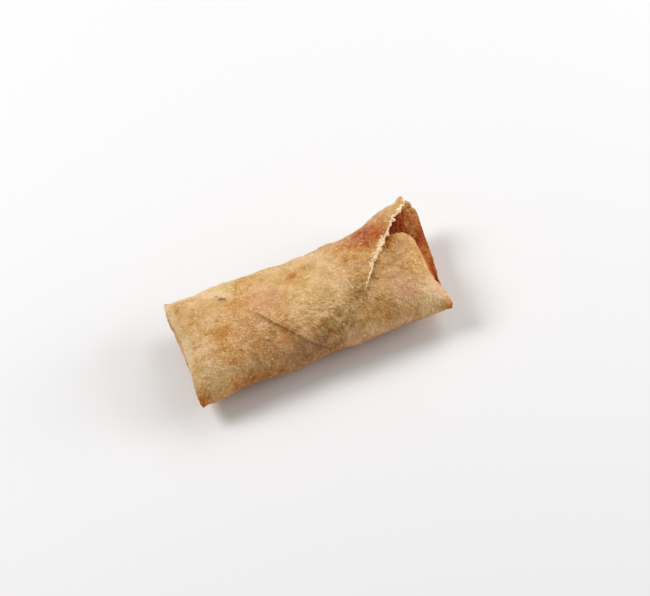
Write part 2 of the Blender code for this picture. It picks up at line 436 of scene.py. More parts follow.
EAR_LIFT = 0.0034
EAR_X = 0.0450
EAR_ANGLE = math.radians(26)
EAR_STATION = 0.925
EAR_FOOT_ANGLE = math.radians(12)
EAR_FOOT_STATION = 0.988
EAR_FLARE = 0.0034
EAR_FLARE_START = math.radians(100)
EAR_FLARE_END = math.radians(70)
EAR_REACH_X = 0.0120
EAR_REACH_ABOVE = math.radians(48)
EAR_REACH_BELOW = math.radians(15)


# %% The flap's sides, ear and step
def flap_sides(angle):
    """The x of the flap's left and right side at an angle round the roll."""
    to_tip = FLAP_TIP_ANGLE - angle
    left = FLAP_TIP_X - FLAP_LEFT_RATE * to_tip
    right = FLAP_TIP_X + FLAP_RIGHT_RATE * to_tip
    right += EAR_FLARE * (1 - smooth_step(EAR_FLARE_END, EAR_FLARE_START, angle))
    at_ear = smooth_step(EAR_FOOT_ANGLE, EAR_ANGLE, angle)
    last = EAR_FOOT_STATION + (EAR_STATION - EAR_FOOT_STATION) * at_ear
    return max(left, FLAP_FIRST_STATION * HALF_LENGTH), min(right, last * HALF_LENGTH)


def ear_lift(x, angle):
    """How far the flap stands off the roll, most at the tip of its ear."""
    along = (EAR_X - x) / EAR_REACH_X
    reach = EAR_REACH_ABOVE if angle > EAR_ANGLE else EAR_REACH_BELOW
    round_it = (angle - EAR_ANGLE) / reach
    return EAR_LIFT * math.exp(-(along * along) - round_it * round_it)


def flap_step(x, angle):
    """The flap's height over the roll as a share of its skin: its base and its stuck sides sink in."""
    left, right = flap_sides(angle)
    from_base = smooth_step(*BASE_RISE_ANGLES, angle)
    left_stuck = 1 - smooth_step(*LEFT_FREE_ANGLES, angle)
    right_stuck = RIGHT_STUCK_SHARE * smooth_step(*RIGHT_STUCK_ANGLES, angle)
    left_in = smooth_step(0, LEFT_STUCK_WIDTH, x - left)
    right_in = smooth_step(0, RIGHT_STUCK_WIDTH, right - x)
    return from_base * (1 - left_stuck * (1 - left_in)) * (1 - right_stuck * (1 - right_in))


print("flap's sides on top of the roll, mm:", [round(x * 1000, 1) for x in flap_sides(math.pi / 2)])

# %% [markdown]
# ## The torn edge
# From the tip of the ear down over the top, the flap's right side is torn. Noise that runs along
# the edge pushes it to and fro and curls it up, so it has nicks of several sizes. They are deepest
# between the ear and a short step in the edge, and small again where the tear ends. The tip of the
# ear stands up in a small spike. A row of cuts by hand would look more regular than dough does.

# %% Sizes of the tear
TEAR_WIDTH = 0.0026
TEAR_DEPTH = 0.0022
TEAR_SIZE = 0.0019
TEAR_OCTAVES = 4
TEAR_METRES_PER_RADIAN = 0.024
TEAR_LAYER = 0.0004
TEAR_CURL = 0.0008
TEAR_CURL_SHARE = 0.5
TEAR_SWELL = 0.0002
TEAR_AT_TIP = 0.45
TEAR_SMALLEST = 0.15
TEAR_BELOW_STEP = 0.60
TEAR_START_ANGLES = (math.radians(21), math.radians(27))
TEAR_GROWTH_ANGLES = (math.radians(24), math.radians(40))
TEAR_STEP_ANGLE = math.radians(70)
TEAR_END_ANGLE = math.radians(110)
TEAR_STUCK_ANGLE = math.radians(124)
ABOVE_STEP_ANGLES = (TEAR_STEP_ANGLE - math.radians(12), TEAR_STEP_ANGLE - math.radians(3))
AT_STEP_ANGLES = (TEAR_STEP_ANGLE, TEAR_STEP_ANGLE + math.radians(3))
BELOW_STEP_ANGLES = (TEAR_STEP_ANGLE + math.radians(4), TEAR_END_ANGLE)
TIP_LIFT = 0.0018
TIP_REACH_X = 0.0018
TIP_REACH_ANGLE = math.radians(9)


# %% The tear and the ear's tip
def looseness(angle):
    """1 where the flap's right side is torn and loose, 0 where it sticks and below the ear."""
    stuck = smooth_step(TEAR_END_ANGLE, TEAR_STUCK_ANGLE, angle)
    return (1 - stuck) * smooth_step(*TEAR_START_ANGLES, angle)


def below_step(angle):
    """1 just below the tear's step, falling to 0 where the tear ends."""
    return smooth_step(*AT_STEP_ANGLES, angle) * (1 - smooth_step(*BELOW_STEP_ANGLES, angle))


def tear_size(angle):
    """The tear's depth as a share of its full size: least at the step and where the tear ends."""
    above = TEAR_AT_TIP + (1 - TEAR_AT_TIP) * smooth_step(*TEAR_GROWTH_ANGLES, angle)
    above *= 1 - smooth_step(*ABOVE_STEP_ANGLES, angle)
    return TEAR_SMALLEST + (1 - TEAR_SMALLEST) * above + TEAR_BELOW_STEP * below_step(angle)


def torn(x, angle):
    """1 at the flap's torn right side, fading out within the tear's width."""
    return looseness(angle) * (1 - smooth_step(0, TEAR_WIDTH, flap_sides(angle)[1] - x))


def tip_lift(x, angle):
    """The torn tip of the ear stands up in a small spike."""
    along = (flap_sides(angle)[1] - x) / TIP_REACH_X
    round_it = (angle - EAR_ANGLE) / TIP_REACH_ANGLE
    return TIP_LIFT * math.exp(-(along * along) - round_it * round_it)


tear_depths = [TEAR_DEPTH * tear_size(math.radians(degrees)) for degrees in (30, 50, 70, 90, 110)]
print("depth of the tear from the ear down, mm:", [round(depth * 1000, 1) for depth in tear_depths])

# %% The flap's shape
FLAP_STEPS = ((10, 16), (14, 18), (3,))
FLAP_BLOCK_WIDTH = 0.080
RIM_CROWDING = 1.5
GRIP_GAP = -0.004


def flap_angle(share):
    """The angle round the roll of a point of the flap's block."""
    return FLAP_BASE_ANGLE + (FLAP_END_ANGLE - FLAP_BASE_ANGLE) * (share.y + 1) / 2


def flap_x(share, angle):
    """The x of a point of the flap's block. The cells crowd towards the torn right side."""
    left, right = flap_sides(angle)
    return right - (right - left) * ((1 - share.x) / 2) ** RIM_CROWDING


def tear_noise(share, angle):
    """A noise vector that runs along the flap's edge and differs a little through its thickness."""
    place = Vector((angle * TEAR_METRES_PER_RADIAN, share.z * TEAR_LAYER, 0))
    return noise.turbulence_vector(place / TEAR_SIZE, TEAR_OCTAVES, False)


def flap_point(share):
    """Where a point of the flap's block lies, from its root at -1 to its face at 1."""
    angle = flap_angle(share)
    x = flap_x(share, angle)
    station = x / HALF_LENGTH
    point = outline_point(station, angle)
    ragged = torn(x, angle)
    face = FLAP_SUNK + (SKIN - FLAP_SUNK) * flap_step(x, angle) + ear_lift(x, angle)
    gripped = 1 - smooth_step(GRIP_GAP, 0.0, panel_gap(point.x, point.y))
    root = face - SKIN - FLAP_ROOT * gripped
    face += ragged * TEAR_SWELL
    height = root + (face - root) * (share.z + 1) / 2
    tear = tear_noise(share, angle)
    height += ragged * TEAR_CURL * (TEAR_CURL_SHARE + tear.z) + tip_lift(x, angle)
    bent = point + skin_normal(station, angle) * (height + relief(point))
    bent.x += ragged * TEAR_DEPTH * tear_size(angle) * tear.x
    return bent


FLAP_SIZE = (LENGTH, FLAP_BLOCK_WIDTH, SKIN)
FLAP_CENTRE = (0.0, 0.0, MIDDLE_HEIGHT + TOP_RISE)
closing_flap = add_block("closing_flap", FLAP_SIZE, FLAP_CENTRE)
for axis, steps in enumerate(FLAP_STEPS):
    cut_along(closing_flap, axis, steps)
flap_shares = shape_block(closing_flap, FLAP_SIZE, FLAP_CENTRE, flap_point)
print("flap cells:", len(closing_flap.data.polygons))

# %% [markdown]
# ## Fine blisters
# Frying leaves the whole skin pimpled. Three Displace modifiers with procedural textures push the
# skin out and in by fractions of a millimetre: soft wrinkles first, then small blisters, then a
# fine grain. The Voronoi texture of the blisters is darkest at its points, so a negative height
# raises them. The modifiers are applied, so that the relief is real in every view.

# %% Fine relief of both pieces
WRINKLE_SIZE = 0.0060
WRINKLE_HEIGHT = 0.00105
WRINKLE_OCTAVES = 2
FINE_BLISTER_SIZE = 0.0021
FINE_BLISTER_HEIGHT = 0.00040
GRAIN_SIZE = 0.0011
GRAIN_HEIGHT = 0.00022
GRAIN_OCTAVES = 1

wrinkles = bpy.data.textures.new("wrinkles", "CLOUDS")
wrinkles.noise_scale = WRINKLE_SIZE
wrinkles.noise_depth = WRINKLE_OCTAVES
small_blisters = bpy.data.textures.new("small_blisters", "VORONOI")
small_blisters.noise_scale = FINE_BLISTER_SIZE
grain = bpy.data.textures.new("grain", "CLOUDS")
grain.noise_scale = GRAIN_SIZE
grain.noise_depth = GRAIN_OCTAVES


def push_out(piece, texture, height):
    """Displaces the piece by a texture, which pushes its middle grey nowhere."""
    only(piece)
    bpy.ops.object.modifier_add(type="DISPLACE")
    modifier = piece.modifiers[-1]
    modifier.texture = texture
    modifier.texture_coords = "LOCAL"
    modifier.mid_level = 0.5
    modifier.strength = height
    bpy.ops.object.modifier_apply(modifier=modifier.name)


def face_outwards(piece):
    """Turns every face of the piece away from its inside."""
    only(piece)
    bpy.ops.object.mode_set(mode="EDIT")
    bpy.ops.mesh.select_all(action="SELECT")
    bpy.ops.mesh.normals_make_consistent(inside=False)
    bpy.ops.object.mode_set(mode="OBJECT")


for piece in (roll_body, closing_flap):
    face_outwards(piece)
    push_out(piece, wrinkles, WRINKLE_HEIGHT)
    push_out(piece, small_blisters, -FINE_BLISTER_HEIGHT)
    push_out(piece, grain, GRAIN_HEIGHT)
    bpy.ops.object.shade_smooth()
    print(piece.name, "points:", len(piece.data.vertices))

# %% [markdown]
# ## The flat spot below
# A soft roll flattens where it lies. Everything under the floor's level is selected and scaled flat
# to it, as with S, Z, 0, which keeps the cells of the skin.

# %% Flatten the underside
only(roll_body)
bpy.ops.object.mode_set(mode="EDIT")
bpy.ops.mesh.select_mode(type="VERT")
bpy.ops.mesh.select_all(action="DESELECT")
skin = bmesh.from_edit_mesh(roll_body.data)
for vert in skin.verts:
    vert.select = vert.co.z < 0
skin.select_flush_mode()
bmesh.update_edit_mesh(roll_body.data)
bpy.ops.transform.resize(value=(1, 1, 0), center_override=(0, 0, 0))
bpy.ops.object.mode_set(mode="OBJECT")
print("lowest point:", min(vert.co.z for vert in roll_body.data.vertices))

# %% [markdown]
# ## Where the crust is brown, with painted shade and highlights
# Frying browns the corners, the ear, the flank and the pocket behind the ear most, though on the low
# flank and in the pocket the darker brown is partly painted shade. The folds of the left end stay
# pale. The filling shows through thin places as grey-green and pink, and a few herb specks stick to
# the top. Some brown and grey-green dabs low on the near flank are painted shade, and a few pale dabs
# are painted highlights. An image would need the skin unwrapped, so all this is worked out for each
# point of the mesh and kept in attributes, much of it as soft dabs, as with a brush. A little noise
# moves each dab's edge, so none is round.

# %% Dabs of paint: (x, y, z), radius and strength
# Brown dabs are browning, and those low on the near flank are partly painted shade
BROWN_AND_SHADE_DABS = [
    ((-0.0540, -0.0250, 0.0110), 0.0070, 0.12),
    ((-0.0560, -0.0190, 0.0100), 0.0055, 0.14),
    ((-0.0370, -0.0020, 0.0260), 0.0100, 0.02),
    ((-0.0234, 0.0020, 0.0280), 0.0055, 0.11),
    ((-0.0026, 0.0036, 0.0290), 0.0042, 0.22),
    ((0.0031, 0.0075, 0.0285), 0.0026, 0.20),
    ((0.0200, 0.0020, 0.0290), 0.0030, 0.14),
    ((-0.0280, -0.0120, 0.0240), 0.0110, 0.08),
    ((-0.0160, -0.0170, 0.0200), 0.0100, 0.10),
    ((-0.0020, -0.0230, 0.0150), 0.0110, 0.08),
    ((-0.0340, -0.0240, 0.0100), 0.0100, 0.14),
    ((-0.0200, -0.0250, 0.0090), 0.0100, 0.04),
    ((0.0220, 0.0150, 0.0260), 0.0080, 0.12),
    ((0.0320, 0.0110, 0.0280), 0.0085, 0.22),
    ((0.0380, 0.0150, 0.0270), 0.0080, 0.30),
    ((0.0430, 0.0030, 0.0265), 0.0070, 0.06),
    ((0.0530, -0.0268, 0.0135), 0.0030, 0.14),
    ((0.0555, -0.0275, 0.0135), 0.0025, 0.30),
    ((0.0535, -0.0084, 0.0180), 0.0060, 0.14),
    ((0.0540, 0.0240, 0.0165), 0.0035, 0.16),
]
# Pale dabs are paler dough; the small ones near the left edge and on the far-left corner are painted
# highlights, and the one at the near right end is painted light
PALE_AND_HIGHLIGHT_DABS = [
    ((-0.0555, 0.0255, 0.0130), 0.0040, 0.20),
    ((-0.0480, 0.0262, 0.0160), 0.0060, 0.22),
    ((-0.0400, 0.0245, 0.0190), 0.0050, 0.26),
    ((-0.0304, 0.0130, 0.0275), 0.0060, 0.12),
    ((0.0550, 0.0238, 0.0180), 0.0035, 0.24),
    ((0.0060, -0.0090, 0.0290), 0.0120, 0.12),
    ((0.0000, 0.0130, 0.0260), 0.0120, 0.14),
    ((-0.0510, -0.0080, 0.0160), 0.0070, 0.20),
    ((-0.0460, -0.0180, 0.0150), 0.0070, 0.18),
    ((-0.0480, -0.0110, 0.0150), 0.0080, 0.18),
    ((-0.0510, -0.0045, 0.0165), 0.0032, 0.26),
    ((-0.0490, -0.0150, 0.0150), 0.0028, 0.20),
    ((0.0465, -0.0232, 0.0180), 0.0070, 0.16),
    ((0.0460, 0.0200, 0.0280), 0.0045, 0.14),
    ((0.0425, 0.0185, 0.0275), 0.0060, 0.12),
]
# Filling dabs are grey-green filling, and the strongest ones low on the near flank are painted shade
FILLING_AND_SHADE_DABS = [
    ((0.0180, -0.0165, 0.0280), 0.0075, 0.65),
    ((0.0205, -0.0125, 0.0285), 0.0035, 0.60),
    ((0.0100, -0.0225, 0.0240), 0.0075, 0.75),
    ((0.0030, -0.0237, 0.0180), 0.0070, 0.80),
    ((0.0260, -0.0070, 0.0280), 0.0065, 0.55),
    ((0.0350, 0.0040, 0.0270), 0.0070, 0.60),
    ((0.0430, 0.0030, 0.0265), 0.0065, 0.55),
    ((0.0380, -0.0180, 0.0240), 0.0060, 0.35),
    ((0.0090, -0.0050, 0.0290), 0.0120, 0.18),
    ((-0.0250, -0.0175, 0.0200), 0.0095, 0.75),
    ((0.0385, -0.0080, 0.0260), 0.0065, 0.75),
    ((0.0050, -0.0160, 0.0280), 0.0060, 0.35),
    ((0.0270, -0.0200, 0.0250), 0.0060, 0.35),
    ((-0.0080, -0.0205, 0.0150), 0.0090, 1.00),
    ((-0.0160, -0.0215, 0.0090), 0.0090, 0.30),
    ((0.0373, 0.0158, 0.0265), 0.0060, 0.22),
]
PINK_DABS = [
    ((-0.0145, -0.0020, 0.0295), 0.0050, 1.00),
    ((-0.0180, -0.0060, 0.0290), 0.0030, 0.50),
    ((0.0385, -0.0175, 0.0240), 0.0060, 0.90),
    ((0.0330, -0.0130, 0.0260), 0.0040, 0.40),
    ((-0.0100, -0.0200, 0.0190), 0.0070, 0.35),
    ((0.0425, 0.0185, 0.0275), 0.0060, 0.40),
]
HERB_DABS = [
    ((-0.0325, 0.0080, 0.0281), 0.0010, 1.1),
    ((-0.0310, 0.0072, 0.0282), 0.0008, 1.0),
    ((-0.0336, 0.0106, 0.0277), 0.0008, 0.8),
    ((-0.0290, 0.0205, 0.0235), 0.0007, 0.6),
]
DAB_WANDER = 0.0022
DAB_WANDER_SIZE = 0.0060
FINE_WANDER = 0.0003
FINE_WANDER_SIZE = 0.0010
DAB_CUTOFF = 2.5
print("dabs:", [len(dabs) for dabs in (BROWN_AND_SHADE_DABS, PALE_AND_HIGHLIGHT_DABS, FILLING_AND_SHADE_DABS, PINK_DABS, HERB_DABS)])


# %% Laying on the dabs
def dabbed(point, dabs):
    """The paint that the dabs leave at a point."""
    total = 0.0
    for centre, radius, strength in dabs:
        away = (point - Vector(centre)).length / radius
        if away < DAB_CUTOFF:
            total += strength * math.exp(-away * away)
    return total


def wander(point, reach, size):
    """The point, moved a little by noise, so that a dab's edge isn't round."""
    return point + reach * noise.noise_vector(point / size)


# %% Rules for the browning
BASE_BROWN = 0.40
END_BROWN = 0.05
END_BROWN_X = (0.050, 0.056)
# More brown low on the flank, darker towards the bottom: partly browning, partly painted shade
FLANK_BROWN_AND_SHADE = 0.08
FLANK_Z = (0.008, 0.020)
UNDERSIDE_BROWN = 0.12
UNDERSIDE_Z = (0.0, 0.006)

FOLD_PALE = 0.17
FOLD_WANDER = 0.0012
FOLD_Z = (0.010, 0.013)
END_FOLD_X = -0.0515
END_FOLD_SOFTNESS = 0.0012
END_FOLD_Y = (-0.016, -0.006)
FLUSH_EDGE = Vector((-0.0330, 0.0095))
FLUSH_EDGE_NORMAL = Vector((0.62, 0.784))
FLUSH_EDGE_SOFTNESS = 0.0010
FLUSH_CORNER_X = (-0.036, -0.022)


def left_folds(point):
    """1 on the pale folds of the left end: the end fold, and the corner where the flap lies flush."""
    end_fold = smooth_step(-END_FOLD_SOFTNESS, END_FOLD_SOFTNESS, END_FOLD_X - point.x)
    end_fold *= smooth_step(*END_FOLD_Y, point.y)
    past_edge = FLUSH_EDGE_NORMAL.dot(point.xy - FLUSH_EDGE)
    corner = smooth_step(-FLUSH_EDGE_SOFTNESS, FLUSH_EDGE_SOFTNESS, past_edge)
    corner *= 1 - smooth_step(*FLUSH_CORNER_X, point.x)
    return max(end_fold, corner) * smooth_step(*FOLD_Z, point.z)


# Each rule takes a point and its place on the block, though only the torn rim needs the second
def browning(point, share):
    """Browning of the whole roll, with painted shade and highlights: more at the ends, on the flank
    and below, less on pale folds.
    """
    brown = BASE_BROWN + END_BROWN * smooth_step(*END_BROWN_X, abs(point.x))
    brown += FLANK_BROWN_AND_SHADE * (1 - smooth_step(*FLANK_Z, point.z))
    brown += UNDERSIDE_BROWN * (1 - smooth_step(*UNDERSIDE_Z, point.z))
    moved = wander(point, DAB_WANDER, DAB_WANDER_SIZE)
    brown -= FOLD_PALE * left_folds(wander(point, FOLD_WANDER, DAB_WANDER_SIZE))
    return brown + dabbed(moved, BROWN_AND_SHADE_DABS) - dabbed(moved, PALE_AND_HIGHLIGHT_DABS)


# %% Rules for the shelf and its pocket
SHELF_BROWN = 0.19
SHELF_GAP = (0.0010, 0.0035)
SHELF_ABOVE_MIDDLE = (-0.003, 0.001)
# The pocket behind the ear is painted darker: partly browning, partly painted shade of the recess
POCKET_BROWN_AND_SHADE = 0.40
POCKET_Y = (0.004, 0.016)
POCKET_END_X = (0.046, 0.054)


def sheltered(point, share):
    """1 on the shelf outside the panel, where the wrapper was folded in and blistered less."""
    above_fold = smooth_step(*SHELF_ABOVE_MIDDLE, point.z - MIDDLE_HEIGHT)
    return smooth_step(*SHELF_GAP, panel_gap(point.x, point.y)) * above_fold


def shelf_browning_and_pocket_shade(point, share):
    """More browning on the shelf, and the darkest brown in the pocket behind the ear, which is partly
    painted shade of the recess.
    """
    in_pocket = smooth_step(*POCKET_Y, point.y) * (1 - smooth_step(*POCKET_END_X, point.x))
    return sheltered(point, share) * (SHELF_BROWN + POCKET_BROWN_AND_SHADE * in_pocket)


def body_browning_and_shade(point, share):
    """The body's browning and painted shade, which has the shelf's and the pocket's on top."""
    return browning(point, share) + shelf_browning_and_pocket_shade(point, share)


# %% Rules for the filling, the herbs and the torn rim
TORN_LINE_WIDTH = 0.0008
TORN_LINE_AT_TIP = 0.4
TORN_LINE_ANGLES = (math.radians(26), math.radians(40))
TORN_WEDGE_WIDTH = 0.0029
TORN_PAINT_SIZE = 0.0010
TORN_PAINT_OCTAVES = 2
TORN_PAINT_RAGGED = 1.4
TORN_PAINT_FULL = 0.7


# The filling attribute is grey-green filling and, low on the near flank, painted shade
def filling(point, share):
    return dabbed(wander(point, DAB_WANDER, DAB_WANDER_SIZE), FILLING_AND_SHADE_DABS)


def pink(point, share):
    return dabbed(wander(point, DAB_WANDER, DAB_WANDER_SIZE), PINK_DABS)


def herb(point, share):
    return dabbed(wander(point, FINE_WANDER, FINE_WANDER_SIZE), HERB_DABS)


def torn_paint(point, share):
    """1 on the flap's torn rim, where the dough is bare and pale."""
    angle = flap_angle(share)
    right = flap_sides(angle)[1]
    inwards = right - flap_x(share, angle)
    grain_noise = noise.turbulence(point / TORN_PAINT_SIZE, TORN_PAINT_OCTAVES, False)
    ragged = 1 + TORN_PAINT_RAGGED * grain_noise
    growth = smooth_step(*TORN_LINE_ANGLES, angle)
    line = TORN_LINE_WIDTH * (TORN_LINE_AT_TIP + (1 - TORN_LINE_AT_TIP) * growth)
    edge = ragged * (line + (TORN_WEDGE_WIDTH - TORN_LINE_WIDTH) * below_step(angle))
    return looseness(angle) * (1 - smooth_step(TORN_PAINT_FULL * edge, edge, inwards))


# %% Paint both pieces
def paint(piece, shares, name, value_at):
    """Stores a number for each point of the piece under a name that its material reads."""
    layer = piece.data.attributes.new(name, "FLOAT", "POINT")
    values = [value_at(vert.co, share) for vert, share in zip(piece.data.vertices, shares)]
    layer.data.foreach_set("value", values)
    print(f"{piece.name} {name}: {min(values):.2f} to {max(values):.2f}")


# The filling attribute also carries painted shade, and browning carries painted shade and highlights
for piece, shares in ((roll_body, body_shares), (closing_flap, flap_shares)):
    paint(piece, shares, "filling", filling)
    paint(piece, shares, "pink", pink)
    paint(piece, shares, "herb", herb)
paint(roll_body, body_shares, "browning", body_browning_and_shade)
paint(roll_body, body_shares, "sheltered", sheltered)
paint(closing_flap, flap_shares, "browning", browning)
paint(closing_flap, flap_shares, "torn", torn_paint)

# %% [markdown]
# ## The fried crust
# Both pieces are the same dough, so its looks are one node group. The painted browning, with noise
# added, runs through a ramp from cream to dark brown. Fine blisters are dots of a Voronoi texture:
# each stands out and catches the light, and its paler top is partly the dough's colour and partly a
# painted highlight. The shaders stay in the two materials.

# %% Helpers for nodes
def feed(tree, socket, source):
    """Links a socket to its source, or sets it where the source is a plain value."""
    if isinstance(source, bpy.types.NodeSocket):
        tree.links.new(source, socket)
    else:
        socket.default_value = source


def calculate(tree, operation, *sources, clamp=False):
    """The result of a Math node on its sources."""
    node = tree.nodes.new("ShaderNodeMath")
    node.operation = operation
    node.use_clamp = clamp
    for socket, source in zip(node.inputs, sources):
        feed(tree, socket, source)
    return node.outputs["Value"]


def rescale(tree, value, low, high, to_low=0.0, to_high=1.0):
    """Maps the range low..high of a value onto to_low..to_high, with soft ends."""
    node = tree.nodes.new("ShaderNodeMapRange")
    node.interpolation_type = "SMOOTHSTEP"
    for name, source in zip(("Value", "From Min", "From Max", "To Min", "To Max"),
                            (value, low, high, to_low, to_high)):
        feed(tree, node.inputs[name], source)
    return node.outputs["Result"]


def mix_colour(tree, share, below, above, blend="MIX"):
    """One colour laid over another, as much as the share says."""
    node = tree.nodes.new("ShaderNodeMix")
    node.data_type = "RGBA"
    node.blend_type = blend
    feed(tree, node.inputs[0], share)
    feed(tree, node.inputs[6], below)
    feed(tree, node.inputs[7], above)
    return node.outputs[2]


def vector_sum(tree, vector, scale, added):
    """A vector times a number, plus another vector."""
    node = tree.nodes.new("ShaderNodeVectorMath")
    node.operation = "MULTIPLY_ADD"
    feed(tree, node.inputs[0], vector)
    node.inputs[1].default_value = (scale, scale, scale)
    feed(tree, node.inputs[2], added)
    return node.outputs["Vector"]


def noise_value(tree, position, size, detail):
    """A noise of about 0 to 1, whose features are about as large as its size in metres."""
    node = tree.nodes.new("ShaderNodeTexNoise")
    node.inputs["Scale"].default_value = 1 / size
    node.inputs["Detail"].default_value = detail
    feed(tree, node.inputs["Vector"], position)
    return node.outputs["Fac"]


# %% Colours of the crust
DOUGH_RAMP = [
    (0.00, (0.86, 0.68, 0.44, 1)),
    (0.18, (0.80, 0.59, 0.335, 1)),
    (0.34, (0.72, 0.485, 0.240, 1)),
    (0.50, (0.62, 0.355, 0.140, 1)),
    (0.66, (0.53, 0.210, 0.042, 1)),
    (0.82, (0.46, 0.085, 0.003, 1)),
    (1.00, (0.32, 0.055, 0.002, 1)),
]
# A darkening tint: the filling's colour, and low on the near flank painted shade
FILLING_AND_SHADE_TINT = (0.50, 0.43, 0.30, 1)
PINK_COLOUR = (0.64, 0.325, 0.175, 1)
HERB_COLOUR = (0.14, 0.095, 0.028, 1)
# The torn rim's pale bare dough, as a painted highlight and a painted shade
TORN_HIGHLIGHT_COLOUR = (0.94, 0.72, 0.46, 1)
TORN_PAINTED_SHADE = (0.76, 0.49, 0.25, 1)
# Paler blister tops: partly the dough's colour, partly a painted highlight
SPECK_HIGHLIGHT_COLOUR = (0.90, 0.71, 0.45, 1)
ROSY_TINT = (1.0, 0.89, 0.84, 1)
GOLDEN_TINT = (0.98, 0.99, 0.83, 1)
print("colours of the dough, from pale to brown:", len(DOUGH_RAMP))

# %% The node group and its sockets
crust_group = bpy.data.node_groups.new("fried_crust", "ShaderNodeTree")
for name, kind in (
    ("Position", "NodeSocketVector"),
    ("Browning", "NodeSocketFloat"),
    ("Filling", "NodeSocketFloat"),
    ("Pink", "NodeSocketFloat"),
    ("Herb", "NodeSocketFloat"),
    ("Torn", "NodeSocketFloat"),
    ("Sheltered", "NodeSocketFloat"),
    ("Blister Size", "NodeSocketFloat"),
    ("Blister Contrast", "NodeSocketFloat"),
):
    crust_group.interface.new_socket(name, in_out="INPUT", socket_type=kind)
for name, kind in (
    ("Color", "NodeSocketColor"),
    ("Roughness", "NodeSocketFloat"),
    ("Height", "NodeSocketFloat"),
):
    crust_group.interface.new_socket(name, in_out="OUTPUT", socket_type=kind)
group_in = crust_group.nodes.new("NodeGroupInput").outputs
group_out = crust_group.nodes.new("NodeGroupOutput").inputs
position = group_in["Position"]
print("sockets of the crust group:", len(crust_group.interface.items_tree))

# %% [markdown]
# ## Fine blisters of the crust
# A Voronoi texture scatters points, and a dome round each is a blister. Noise shifts its
# coordinates a little, so no two are alike, and each dome takes its own height from the colour of
# its cell. Two sizes are added up. Where the wrapper was folded in, they are a fifth as high.

# %% Blisters in two sizes
SHIFT_SIZE = 0.0016
SHIFT_REACH = 0.0009
DOME_SMOOTHNESS = 0.35
DOME_EDGE = 0.48
DOME_TOP = 0.08
OWN_HEIGHTS = (0.2, 0.8)
TINY_SHARE = 0.52
LARGE_WEIGHT = 0.55
TINY_WEIGHT = 0.70
SHELTER = 0.8

shifting = crust_group.nodes.new("ShaderNodeTexNoise")
shifting.inputs["Scale"].default_value = 1 / SHIFT_SIZE
feed(crust_group, shifting.inputs["Vector"], position)
shifted = vector_sum(crust_group, shifting.outputs["Color"], SHIFT_REACH, position)


def blister_field(size):
    """0 between the blisters and up to 1 on top of each, which has its own height."""
    cells = crust_group.nodes.new("ShaderNodeTexVoronoi")
    cells.feature = "SMOOTH_F1"
    cells.inputs["Smoothness"].default_value = DOME_SMOOTHNESS
    feed(crust_group, cells.inputs["Vector"], shifted)
    feed(crust_group, cells.inputs["Scale"], calculate(crust_group, "DIVIDE", 1.0, size))
    own = crust_group.nodes.new("ShaderNodeSeparateColor")
    feed(crust_group, own.inputs["Color"], cells.outputs["Color"])
    dome = rescale(crust_group, cells.outputs["Distance"], DOME_EDGE, DOME_TOP)
    own_height = rescale(crust_group, own.outputs["Red"], *OWN_HEIGHTS)
    return calculate(crust_group, "MULTIPLY", dome, own_height)


large_blisters = blister_field(group_in["Blister Size"])
tiny_size = calculate(crust_group, "MULTIPLY", group_in["Blister Size"], TINY_SHARE)
tiny_blisters = blister_field(tiny_size)
blistered = calculate(crust_group, "MULTIPLY", large_blisters, LARGE_WEIGHT)
blistered = calculate(crust_group, "MULTIPLY_ADD", tiny_blisters, TINY_WEIGHT, blistered)
open_skin = calculate(crust_group, "MULTIPLY_ADD", group_in["Sheltered"], -SHELTER, 1.0)
blistered = calculate(crust_group, "MULTIPLY", blistered, open_skin)
print("nodes for the blisters:", len(crust_group.nodes))

# %% [markdown]
# ## Browning of the crust
# Noise in three sizes is added to the painted browning: patches, a mottling, and a fine grain. A
# blister stands out of the oil, and its top is painted paler, partly as the dough's colour and partly
# as a painted highlight. The sum picks a colour from the ramp.

# %% Browning and its ramp
# Each noise has a size and a detail, and a weight in the sum
PATCH_NOISE = (0.0085, 3)
PATCH_WEIGHT = 0.85
MOTTLE_NOISE = (0.0024, 4)
MOTTLE_WEIGHT = 0.44
FINE_NOISE = (0.0009, 3)
FINE_WEIGHT = 0.46
BROWN_OFFSET = 0.82

patches = noise_value(crust_group, position, *PATCH_NOISE)
mottle = noise_value(crust_group, position, *MOTTLE_NOISE)
fine = noise_value(crust_group, position, *FINE_NOISE)
brown = calculate(crust_group, "MULTIPLY_ADD", patches, PATCH_WEIGHT, group_in["Browning"])
brown = calculate(crust_group, "MULTIPLY_ADD", mottle, MOTTLE_WEIGHT, brown)
brown = calculate(crust_group, "MULTIPLY_ADD", fine, FINE_WEIGHT, brown)
# Blister tops are paler: partly the dough's colour, partly a painted highlight
paler_and_highlight = calculate(crust_group, "MULTIPLY", blistered, group_in["Blister Contrast"])
brown = calculate(crust_group, "SUBTRACT", brown, paler_and_highlight)
brown = calculate(crust_group, "SUBTRACT", brown, BROWN_OFFSET)
ramp = crust_group.nodes.new("ShaderNodeValToRGB")
for at, colour in DOUGH_RAMP[1:-1]:
    ramp.color_ramp.elements.new(at).color = colour
ramp.color_ramp.elements[0].color = DOUGH_RAMP[0][1]
ramp.color_ramp.elements[-1].color = DOUGH_RAMP[-1][1]
feed(crust_group, ramp.inputs["Fac"], brown)
colour = ramp.outputs["Color"]
print("colours of the ramp:", len(ramp.color_ramp.elements))

# %% [markdown]
# ## Colours over the browning
# Brown patches are more golden and pale ones rosier. The filling is a tint that multiplies the dough,
# so the browning still shows through it, and low on the near flank the same tint is painted shade. Its
# pink parts are a colour of their own. Both are blotched. Herb specks, the paler tops of the blisters,
# which are partly a painted highlight, and the bare dough of the torn rim, varied between a painted
# highlight and a painted shade, lie over all of this.

